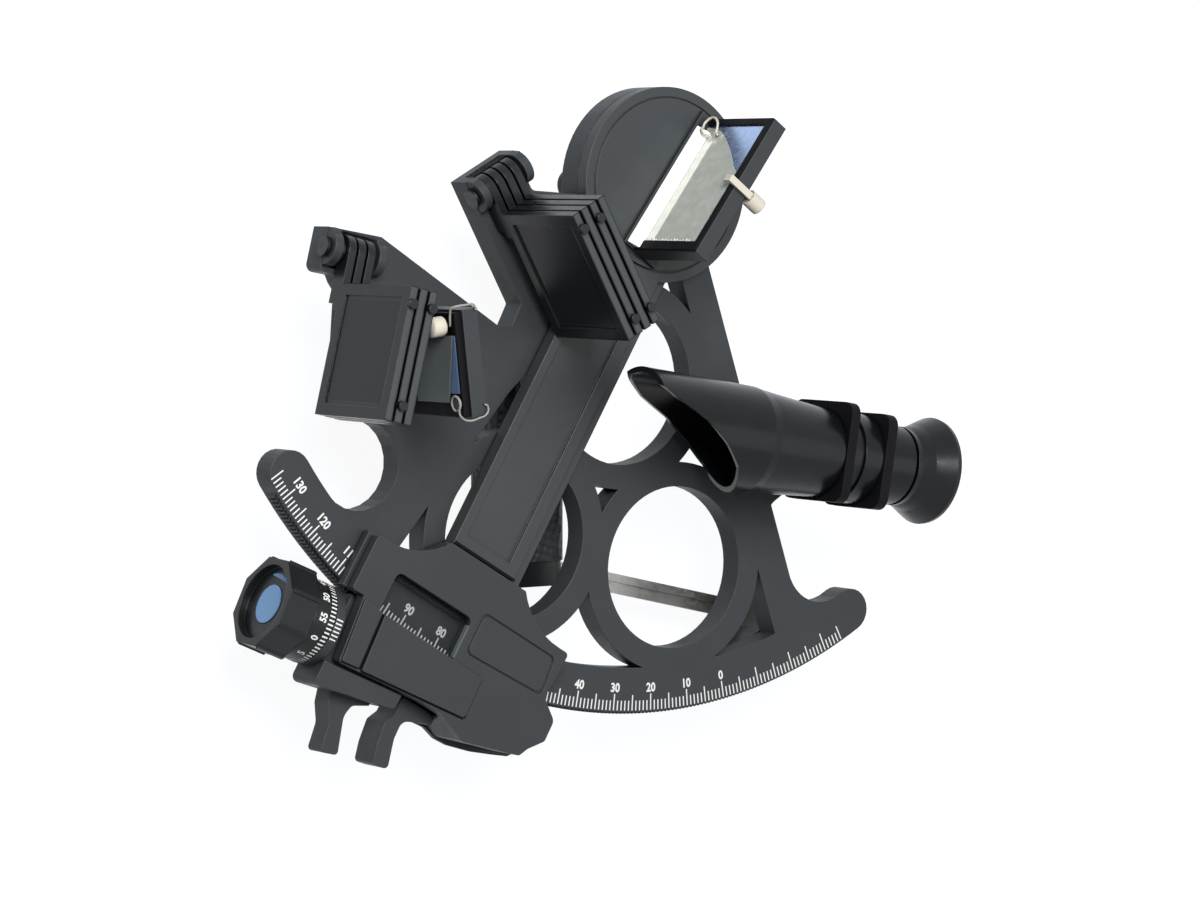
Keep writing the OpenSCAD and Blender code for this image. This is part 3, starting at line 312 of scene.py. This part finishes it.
# Near black: partly painted shade where it darkens the telescope bracket, the index mirror's bezel and the
# horizon mirror's back bar, and painted shadow on the strips beside the casing's plates and at the bar's end
black_and_shade_mat = plastic("black_and_painted_shade", (0.003, 0.003, 0.004), rough=0.6, edge_highlight=1.0, spec=0.1)
white_mat = plastic("white_paint", (0.66, 0.67, 0.65), rough=0.55, edge=0.05, edge_highlight=1.0, spread=0.05)
ivory_mat = plastic("ivory_clip", (0.52, 0.49, 0.41), rough=0.4, edge_highlight=1.1)
strip_mat = plastic("bevel_white", (0.86, 0.86, 0.84), rough=0.3, edge_highlight=1.0, spread=0.02)
blue_mat = plastic("blue_disc", (0.15, 0.30, 0.52), rough=0.25, grain=0.05, edge_highlight=1.2)
# Lighter colour for the shades' upper edges: a painted highlight where the light falls on them
top_highlight_mat = plastic("shade_edge_highlight", (0.042, 0.048, 0.051), rough=0.4, edge_highlight=1.2)
# Light grey: the horizon mirror's spring plate, and a painted highlight on the window's right edge
plate_and_highlight_mat = plastic("plate_grey_and_highlight", (0.10, 0.115, 0.12), rough=0.4, edge_highlight=1.3)
wire_mat = plastic("wire_grey", (0.26, 0.26, 0.24), rough=0.35, edge_highlight=1.2)
wedge_mat = plastic("blue_wedge", (0.09, 0.15, 0.26), rough=0.4, edge_highlight=1.2)
glint_mat = plastic("painted_glints", (0.80, 0.92, 0.86), rough=0.2, edge_highlight=1.0, spread=0.3)
steel_mat = metal("bright_metal", (0.62, 0.61, 0.58), 0.32)
pin_mat = metal("pin_metal", (0.05, 0.05, 0.05), 0.4)
bar_mat = metal("bar_metal", (0.36, 0.36, 0.35), 0.42)
bronze_mat = metal("bronze", (0.55, 0.40, 0.2), 0.4)
mirror_mat = metal("mirror_glass", (0.86, 0.87, 0.86), 0.02)
# Painted reflection: a pale half-metal film over the mirror's lower part
disc_reflection_mat = metal("painted_disc_reflection", (0.70, 0.73, 0.66), 0.05, 0.45)
# Mirror tinted blue: a painted reflection of blue in the clear part
clear_mat = metal("clear_mirror", (0.38, 0.50, 0.74), 0.28)
lens_mat = glass("lens_glass", (0.5, 0.6, 0.65), 0.35)
# Window pane: its dark tint is partly painted shade in the window under the casing's edge
pane_mat = glass("window_glass", (0.03, 0.035, 0.04), 0.15, 0.2, 0.05)
shade_glass_mat = glass("shade_glass", (0.010, 0.011, 0.014), 0.97, 0.3)

SLOT_MATERIALS = {
    "body_plastic": body_mat,
    "black_plastic": black_mat,
    "bright_metal": steel_mat,
    "bronze": bronze_mat,
    "mirror_glass": mirror_mat,
    "lens_glass": lens_mat,
    "window_glass": pane_mat,
    "shade_glass": shade_glass_mat,
    "blue_plastic": blue_mat,
    "soft_rubber": rubber_mat,
}
NODE_MATERIALS = {
    "telescope_tube": tube_mat,
    "focus_collar": tube_mat,
    "eye_tube": tube_mat,
    "handle_bar": bar_mat,
    "index_arm": arm_mat,
    "index_mirror_clips": ivory_mat,
    "handle_front": grip_mat,
    "handle_back": grip_mat,
    # Bracket darkened to near black, partly as painted shade on its lit faces
    "telescope_bracket": black_and_shade_mat,
    "index_shade_pin": pin_mat,
    "horizon_shade_pin": pin_mat,
    "carriage_pin": pin_mat,
}
for part in frame["record"]["subparts"]:
    name = part["node"]
    material = NODE_MATERIALS.get(name, SLOT_MATERIALS[part["material_slot"]])
    mesh = NODES[name].data
    mesh.materials.clear()
    mesh.materials.append(material)

# Graduations and numbers of the arc
MARK_OUTER = 160.0
TEN_MARK = 155.0
TEN_MARK_BELOW = 154.3
FIVE_MARK = 155.3
ONE_MARK = 157.0
MARK_WIDTH = 0.42
MARK_SUNK = -0.02
MARK_PROUD = 0.05
NUMBER_R = 153.2
SCALE_DIGITS = 2.7
marks, mark_faces = [], []
for reading in range(-35, 136):
    angle = (MIDDLE_READING - reading) / 2
    if reading % 10 == 0:
        inner = TEN_MARK if reading >= 0 else TEN_MARK_BELOW
    elif reading % 5 == 0:
        inner = FIVE_MARK
    else:
        inner = ONE_MARK
    radial_mark(marks, mark_faces, angle, inner, MARK_OUTER, MARK_WIDTH, MARK_SUNK, MARK_PROUD)
for reading in range(0, 131, 10):
    verts, faces = number_mesh(str(reading), SCALE_DIGITS)
    angle = (MIDDLE_READING - reading) / 2
    centre = polar(NUMBER_R, angle)
    turn = Matrix.Translation((centre.x, centre.y, 0)) @ turned(angle)
    base = len(marks)
    marks.extend([tuple(turn @ Vector((v[0], v[1], MARK_PROUD))) for v in verts])
    mark_faces.extend([[base + i for i in f] for f in faces])
mesh_object("arc_scale_marks", marks, mark_faces, ON_DECK, "frame_body", white_mat)

# Graduations and numbers of the micrometer drum, and the index marks beside it
DRUM_R = 12.35
DRUM_END = -59.37
DRUM_MARKS = 60
DRUM_FIRST = 114.0
DRUM_PROUD = 0.04
DRUM_NUMBER_AT = 3.9
DRUM_DIGITS = 2.3
RING_FIRST = 79
RING_STEP = 5.6


def on_cylinder(radius, s, angle):
    """Point on a cylinder along the worm's axis; the angle runs from the side of the arc over the front."""
    a = math.radians(angle)
    return (s, radius * math.cos(a), radius * math.sin(a))


def wrapped_bar(verts, faces, radius, s0, s1, a0, a1, proud):
    """Small raised bar on the cylinder."""
    base = len(verts)
    for r in (radius - 0.05, radius + proud):
        for s, a in ((s0, a0), (s1, a0), (s1, a1), (s0, a1)):
            verts.append(on_cylinder(r, s, a))
    for f in ((0, 1, 2, 3), (4, 7, 6, 5), (0, 4, 5, 1), (1, 5, 6, 2), (2, 6, 7, 3), (3, 7, 4, 0)):
        faces.append([base + i for i in f])


marks, mark_faces = [], []
for k in range(DRUM_MARKS):
    angle = DRUM_FIRST + k * 360 / DRUM_MARKS
    wrapped_bar(marks, mark_faces, DRUM_R, DRUM_END - 2.0, DRUM_END - 0.15,
                angle - 1.1, angle + 1.1, DRUM_PROUD)
    if k % 5 == 0:
        verts, faces = number_mesh(str(k), DRUM_DIGITS)
        base = len(marks)
        for v in verts:
            round_by = math.degrees(v[0] / DRUM_R)
            marks.append(on_cylinder(DRUM_R + DRUM_PROUD, DRUM_END - DRUM_NUMBER_AT - v[1], angle - round_by))
        mark_faces.extend([[base + i for i in f] for f in faces])
mesh_object("drum_marks", marks, mark_faces, ON_WORM, "micrometer", white_mat)

marks, mark_faces = [], []
for k in range(6):
    angle = RING_FIRST + RING_STEP * k
    wrapped_bar(marks, mark_faces, DRUM_R - 0.05, DRUM_END + 0.5, DRUM_END + 2.7,
                angle - 1.0, angle + 1.0, 0.05)
mesh_object("index_ring_marks", marks, mark_faces, ON_WORM, "worm_carriage_body", white_mat)


# Small pieces that the CAD leaves out

ON_FOOT = ON_ARM @ Matrix.Translation((0, -ARC_R, 0))
KNOB_FLOOR = DRUM_END - 15.4
CRESCENT_FROM = -20
CRESCENT_TO = 46
CRESCENT_R = 9.5
CRESCENT_CUTS = 12
UPRIGHT = Matrix.Rotation(math.radians(90), 4, "X")
ALONG = Matrix(((0, 0, 1, 0), (1, 0, 0, 0), (0, 1, 0, 0), (0, 0, 0, 1)))
INDEX_MIRROR = ON_ARM @ Matrix.Translation((1.73, 1.11, 0)) @ turned(84.3)
INDEX_FACE = INDEX_MIRROR @ UPRIGHT
HORIZON_MIRROR = ON_DECK @ Matrix.Translation((-72.9, -72.8, 0)) @ turned(-67.6)
HORIZON_FACE = HORIZON_MIRROR @ UPRIGHT


def slabs(name, plans, matrix, body, material):
    """One piece of several prisms, each given as its corners and its two heights."""
    verts, faces = [], []
    for corners, z0, z1 in plans:
        add_bar(verts, faces, corners, z0, z1)
    return mesh_object(name, verts, faces, matrix, body, material)


def box_corners(x0, x1, y0, y1):
    return [(x0, y0), (x1, y0), (x1, y1), (x0, y1)]


def strip_between(a, b, width):
    """Corners of a strip on the right of the line from a to b."""
    along = (Vector(b) - Vector(a)).normalized()
    side = Vector((along.y, -along.x)) * width
    return [tuple(Vector(a)), tuple(Vector(a) + side), tuple(Vector(b) + side), tuple(Vector(b))]


def add_tube(verts, faces, points, radius, sides=8):
    """Adds a wire through the points, closed at both ends."""
    points = [Vector(q) for q in points]
    base = len(verts)
    n = len(points)
    across = Vector((0.3, 0.2, 0.93)).normalized()
    for i in range(n):
        along = (points[min(i + 1, n - 1)] - points[max(i - 1, 0)]).normalized()
        u = along.cross(across)
        if u.length < 0.1:
            u = along.cross(Vector((1, 0, 0)))
        u.normalize()
        v = along.cross(u).normalized()
        across = u.cross(along)
        for k in range(sides):
            a = 2 * math.pi * k / sides
            verts.append(tuple(points[i] + (u * math.cos(a) + v * math.sin(a)) * radius))
    for i in range(n - 1):
        for k in range(sides):
            a = base + i * sides + k
            b = base + i * sides + (k + 1) % sides
            faces.append([a, b, b + sides, a + sides])
    faces.append([base + k for k in range(sides)])
    faces.append([base + (n - 1) * sides + k for k in range(sides - 1, -1, -1)])


def smooth_path(points, cuts=5):
    """Points of a smooth curve through the given ones."""
    points = [Vector(q) for q in points]
    path = []
    for i in range(len(points) - 1):
        a = points[max(i - 1, 0)]
        b = points[i]
        c = points[i + 1]
        d = points[min(i + 2, len(points) - 1)]
        for k in range(cuts):
            t = k / cuts
            path.append(0.5 * (2 * b + (c - a) * t + (2 * a - 5 * b + 4 * c - d) * t * t
                               + (3 * b - a - 3 * c + d) * t * t * t))
    path.append(points[-1])
    return path


def add_round(verts, faces, at, profile, sides=32):
    """Adds a turned piece along -Y; the profile holds pairs of radius and depth."""
    base = len(verts)
    for r, d in profile:
        for k in range(sides):
            a = 2 * math.pi * k / sides
            verts.append((at[0] + r * math.cos(a), at[1] - d, at[2] + r * math.sin(a)))
    n = len(profile)
    for i in range(n - 1):
        for k in range(sides):
            a = base + i * sides + k
            b = base + i * sides + (k + 1) % sides
            faces.append([a, b, b + sides, a + sides])
    faces.append([base + k for k in range(sides)])
    faces.append([base + (n - 1) * sides + k for k in range(sides - 1, -1, -1)])


# Casing: ledge over the window, lip on its left side, painted shadow strips beside the plates and at the
# bar's end, and a painted highlight on the window's right edge
SHADOW_LOW = 6.55
SHADOW_HIGH = 6.66
# Painted shadow: thin near-black strips beside the raised plates' edges, where their shadow falls
PLATE_EDGE_SHADOWS = [
    ([(-24.4, 1.3), (-23.4, -16.3), (-22.2, -16.4), (-23.4, 1.2)], SHADOW_LOW, 6.68),
    (strip_between((16.7, -12.2), (-22.2, -16.4), -0.6), SHADOW_LOW, SHADOW_HIGH),
    (strip_between((-23.4, -16.2), (-29.5, -17.0), -0.55), SHADOW_LOW, SHADOW_HIGH),
    (strip_between((16.2, 0.6), (16.7, -12.2), -0.6), SHADOW_LOW, SHADOW_HIGH),
]
SKIRT = [
    (10, -18.2), (15.9, -17.7), (20.8, -18.9), (25.8, -18.6), (33.9, -16.6), (40.8, -14.1), (46.4, -11.9),
    (48.5, -9.6), (48.6, -7.2), (46.2, -5.2), (41, -9.5), (38, -12), (20, -16), (10, -15),
]
for name, plans, material in (
        # The ledge is black as painted shade under the casing's top edge
        ("window_ledge", [(box_corners(-26, 5.6, 13.1, 17), 0.45, 2.2)], black_mat),
        ("casing_lip", [(box_corners(-38.3, -36.7, 2.9, 20.6), 0.4, 3.2)], body_mat),
        ("plate_edge_shadows", PLATE_EDGE_SHADOWS, black_and_shade_mat),
        # Painted highlight: a light strip along the lit right wall of the window
        ("window_edge_highlight", [(box_corners(4.45, 4.67, 1.4, 12.2), 4.2, 6.5)], plate_and_highlight_mat),
        ("bar_end_shadow", [(box_corners(-12, 12.6, 30.95, 31.8), 5.3, 5.5)], black_and_shade_mat),
        ("casing_skirt", [(SKIRT, -10.6, -8.7)], body_mat)):
    slabs(name, plans, ON_FOOT, "index_arm_body", material)

crescent = []
for k in range(CRESCENT_CUTS + 1):
    a = math.radians(CRESCENT_FROM + (CRESCENT_TO - CRESCENT_FROM) * k / CRESCENT_CUTS)
    crescent.append((CRESCENT_R * math.cos(a), CRESCENT_R * math.sin(a)))
for k in range(CRESCENT_CUTS, -1, -1):
    a = math.radians(CRESCENT_FROM + (CRESCENT_TO - CRESCENT_FROM) * k / CRESCENT_CUTS)
    r = CRESCENT_R - 0.05 - 1.5 * math.sin(math.pi * (k + 0.5) / (CRESCENT_CUTS + 1)) ** 0.7
    crescent.append((r * math.cos(a), r * math.sin(a)))
slabs("knob_crescent", [(crescent, KNOB_FLOOR - 0.18, KNOB_FLOOR + 0.02)], ON_WORM @ ALONG,
      "micrometer", blue_mat)

# Index mirror: a painted reflection of the disc over its lower part, the blue-tinted clear part, its bezel,
# the white strip and the wire loop
GLASS_LEFT = -21.3
GLASS_LOW = 6.1
GLASS_TOP = 34.6
BEZEL_SIDE = 24.4
BEZEL_LOW = 34.5
# Outline of the painted reflection: its curved edge follows the reflected rim of the disc
DISC_REFLECTION = [
    (GLASS_LEFT, GLASS_LOW), (21.4, GLASS_LOW), (20.9, 11.0), (19.7, 14.5), (17.3, 18.3), (14.4, 22.2),
    (11.1, 26.1), (7.3, 30.1), (4.0, 34.2), (3.0, GLASS_TOP), (GLASS_LEFT, GLASS_TOP),
]
slabs("index_mirror_face", [(box_corners(GLASS_LEFT, 22.1, GLASS_LOW, GLASS_TOP), -0.12, -0.02)], INDEX_FACE,
      "index_arm_body", clear_mat)
slabs("index_mirror_disc_reflection", [(DISC_REFLECTION, -0.2, -0.1)], INDEX_FACE, "index_arm_body", disc_reflection_mat)
slabs("index_mirror_bezel", [
    (box_corners(-BEZEL_SIDE, BEZEL_SIDE, BEZEL_LOW, 36.9), -0.6, 0.3),
    (box_corners(-BEZEL_SIDE, -21.2, GLASS_LOW, BEZEL_LOW), -0.6, 0.3),
    (box_corners(22.0, BEZEL_SIDE, GLASS_LOW, BEZEL_LOW), -0.6, 0.3),
], INDEX_FACE, "index_arm_body", black_and_shade_mat)
STRIP_PROFILE = [(0.25, 6.02), (3.9, 6.02), (3.9, 6.5), (0.25, 8.9)]
STRIP_FACES = [[3, 2, 1, 0], [4, 5, 6, 7], [0, 1, 5, 4], [1, 2, 6, 5], [2, 3, 7, 6], [3, 0, 4, 7]]
strip = mesh_object("mirror_bevel_strip", [(x, y, z) for x in (-23.9, 19.4) for y, z in STRIP_PROFILE],
                    STRIP_FACES, INDEX_MIRROR, "index_arm_body", strip_mat)
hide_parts("index_mirror_strip")

LOOP = [(19.4, 2.5, 7.6), (21.4, 2.5, 7.0), (23.2, 2.5, 8.2), (23.4, 2.4, 10.4), (22.0, 2.2, 12.6),
        (20.2, 1.9, 13.6), (18.8, 1.2, 13.4), (17.9, 0.9, 14.6)]
LOOP_END = [(19.4, 2.9, 7.6), (18.4, 3.2, 8.6), (17.4, 2.4, 9.8), (17.6, 0.9, 11.4)]
LOOP_R = 0.4
verts, faces = [], []
add_tube(verts, faces, smooth_path(LOOP), LOOP_R)
add_tube(verts, faces, smooth_path(LOOP_END), LOOP_R)
mesh_object("index_mirror_loop", verts, faces, INDEX_MIRROR, "index_arm_body", ivory_mat,
            True)

# Painted glints: small pale flecks along the mirror glass's lower edge
GLINT_COUNT = 15
GLINT_X = -21.2
verts, faces = [], []
for i in range(GLINT_COUNT):
    z = 9.4 + 1.5 * i
    w = 0.5 + 0.8 * abs(math.sin(i * 2.3))
    h = 0.6 + 0.5 * abs(math.cos(i * 1.7))
    fleck = [(GLINT_X, z), (GLINT_X + w, z + 0.2), (GLINT_X + w * 0.6, z + h), (GLINT_X, z + h + 0.2)]
    add_bar(verts, faces, fleck, -0.34, -0.15)
mesh_object("glass_edge_glints", verts, faces, INDEX_FACE, "index_arm_body", glint_mat)

# Painted highlight on the lit upper edges of the shades, each group with its hinge's corner and turn, the
# first shade's place, the near side and width of the panel, and how many there are
SHADE_T = 2.5
SHADE_STEP = 3.3
SHADE_TOP = 42.5
TOP_STRIP_IN = 0.3
for group, corner, turn, first, near, wide, count in (
        ("index", (-67.1, -18.2), 44.5, (3.1, 5.1), 7.5, 41.5, 4),
        ("horizon", (-109.0, -43.2), 2.0, (4.9, 6.0), 9.4, 38.5, 3)):
    for k in range(count):
        along = first[0] + SHADE_STEP * k
        hinge = place(corner[0], corner[1], turn) @ Matrix.Translation((along, -first[1], 0))
        top_strip = box_corners(TOP_STRIP_IN, SHADE_T - TOP_STRIP_IN, -near - wide + TOP_STRIP_IN, -near - TOP_STRIP_IN)
        slabs(group + "_shade_top_highlight_" + str(k + 1), [(top_strip, SHADE_TOP - 0.2, SHADE_TOP + 0.05)], hinge,
              group + "_shade_body_" + str(k + 1), top_highlight_mat)

# Horizon mirror: back plates, the barrel of its spring and the wires
WEDGE = [(-8.4, 30), (8.2, 30), (8.2, 37.6), (-8.4, 37.9)]
SPRING_PLATE = [(-8.2, 16), (11.0, 16), (10.9, 32.4), (-8.5, 37.4)]
for name, plan, material in (
        ("horizon_back_bar", (box_corners(-14.9, 14.9, 8.2, 38.6), 4.9, 7.2), black_and_shade_mat),
        ("horizon_wedge", (WEDGE, 7.1, 7.45), wedge_mat),
        ("horizon_spring_plate", (SPRING_PLATE, 7.4, 7.9), plate_and_highlight_mat)):
    slabs(name, [plan], HORIZON_FACE, "frame_body", material)

BARREL = [(1.0, 0.0), (1.1, 1.0), (2.7, 1.3), (2.9, 1.7), (2.9, 5.2), (2.7, 5.6)]
verts, faces = [], []
add_round(verts, faces, (-11.3, -7.1, 33.8), BARREL)
barrel = mesh_object("horizon_spring_barrel", verts, faces, HORIZON_MIRROR, "frame_body", ivory_mat,
                     True)
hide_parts("horizon_mirror_clips")

LEFT_WIRE = [(-11.2, -7.7, 36.6), (-12.6, -7.9, 37.2), (-14.4, -8.0, 37.6), (-16.4, -8.2, 38.8),
             (-16.9, -6.8, 40.0), (-16.9, -4.0, 40.0), (-16.9, -1.8, 40.0), (-16.0, -0.9, 40.0),
             (-15.0, -0.7, 39.8)]
RIGHT_WIRE = [(12.6, -7.8, 37.4), (14.2, -7.9, 37.6), (15.6, -7.3, 39.0), (16.0, -5.6, 40.0),
              (15.6, -3.0, 40.0), (15.2, -1.0, 40.0), (14.0, 0.2, 39.9), (12.6, 0.2, 39.9),
              (12.0, -0.9, 39.9)]
RING_X = 11.0
RING_Z = 36.0
RING_R = 2.1
RING_CUTS = 20
ring = []
for k in range(RING_CUTS + 1):
    a = 2 * math.pi * k / RING_CUTS
    ring.append((RING_X + RING_R * math.cos(a), -7.8, RING_Z + RING_R * math.sin(a)))
verts, faces = [], []
add_tube(verts, faces, smooth_path(LEFT_WIRE), 0.34)
add_tube(verts, faces, smooth_path(RIGHT_WIRE), 0.3)
add_tube(verts, faces, ring, 0.42)
mesh_object("horizon_mirror_wires", verts, faces, HORIZON_MIRROR, "frame_body", wire_mat,
            True)
verts, faces = [], []
add_round(verts, faces, (RING_X, -7.15, RING_Z), [(1.9, 0.0), (1.9, 0.45), (1.4, 0.6)])
mesh_object("horizon_ring_screw", verts, faces, HORIZON_MIRROR, "frame_body", black_mat)

# Camera, at the photograph's place
SENSOR = 36
LENS = 125.79
camera_data = bpy.data.cameras.new("camera")
camera_data.sensor_width = SENSOR
camera_data.lens = LENS
camera_data.clip_start = 0.1
camera_data.clip_end = 20
camera = bpy.data.objects.new("camera", camera_data)
bpy.context.scene.collection.objects.link(camera)
camera.matrix_world = Matrix((
    (0.78636, -0.23658, -0.5707, -0.7204),
    (0.22272, 0.97021, -0.0953, -0.2031),
    (0.57623, -0.05214, 0.8156, 1.0316 + DECK * MM),
    (0, 0, 0, 1)))
bpy.context.scene.camera = camera


# Floor, world and lamps

WORLD_LIGHT = 0.25
FLOOR_HALF = 6
FLOOR_GLOW = 0.93


def seen_directly(tree):
    """Output of 1 for camera, glossy and transmission rays, and 0 for the rest."""
    path = tree.nodes.new("ShaderNodeLightPath")
    value = path.outputs["Is Camera Ray"]
    for ray in ("Is Glossy Ray", "Is Transmission Ray"):
        most = tree.nodes.new("ShaderNodeMath")
        most.operation = "MAXIMUM"
        link(tree, value, most.inputs[0])
        link(tree, path.outputs[ray], most.inputs[1])
        value = most.outputs["Value"]
    return value


world = bpy.data.worlds.new("studio")
bpy.context.scene.world = world
world.use_nodes = True
tree = world.node_tree
background = tree.nodes["Background"]
background.inputs["Color"].default_value = (1, 1, 1, 1)
strength = tree.nodes.new("ShaderNodeMapRange")
strength.inputs["To Min"].default_value = WORLD_LIGHT
strength.inputs["To Max"].default_value = 1.0
link(tree, seen_directly(tree), strength.inputs["Value"])
link(tree, strength.outputs["Result"], background.inputs["Strength"])

floor_mesh = bpy.data.meshes.new("floor")
floor_corners = [(x, y, 0) for x, y in box_corners(-FLOOR_HALF, FLOOR_HALF, -FLOOR_HALF, FLOOR_HALF)]
floor_mesh.from_pydata(floor_corners, [], [(0, 1, 2, 3)])
floor = bpy.data.objects.new("floor", floor_mesh)
bpy.context.scene.collection.objects.link(floor)
floor_mat, tree, shader = nodes_of("floor_white")
shader.inputs["Base Color"].default_value = (0.09, 0.11, 0.15, 1)
shader.inputs["Roughness"].default_value = 0.9
glow = tree.nodes.new("ShaderNodeEmission")
glow.inputs["Color"].default_value = (1, 1, 1, 1)
level = tree.nodes.new("ShaderNodeMath")
level.operation = "MULTIPLY"
level.inputs[1].default_value = FLOOR_GLOW
link(tree, seen_directly(tree), level.inputs[0])
link(tree, level.outputs["Value"], glow.inputs["Strength"])
both = tree.nodes.new("ShaderNodeAddShader")
link(tree, shader.outputs["BSDF"], both.inputs[0])
link(tree, glow.outputs["Emission"], both.inputs[1])
link(tree, both.outputs["Shader"], tree.nodes["Material Output"].inputs["Surface"])
floor_mesh.materials.append(floor_mat)


def lamp(name, location, target, size, energy):
    data = bpy.data.lights.new(name, "AREA")
    data.size = size
    data.energy = energy
    obj = bpy.data.objects.new(name, data)
    bpy.context.scene.collection.objects.link(obj)
    obj.location = location
    obj.rotation_euler = (Vector(target) - Vector(location)).to_track_quat("-Z", "Y").to_euler()


lamp("key", (-0.46, 0.22, 0.92), (-0.02, -0.06, 0.05), 0.5, 15.5)
lamp("fill", (1.1, 0.1, 1.5), (0.0, -0.08, 0.04), 1.0, 3)

bpy.context.scene.view_settings.view_transform = "Standard"
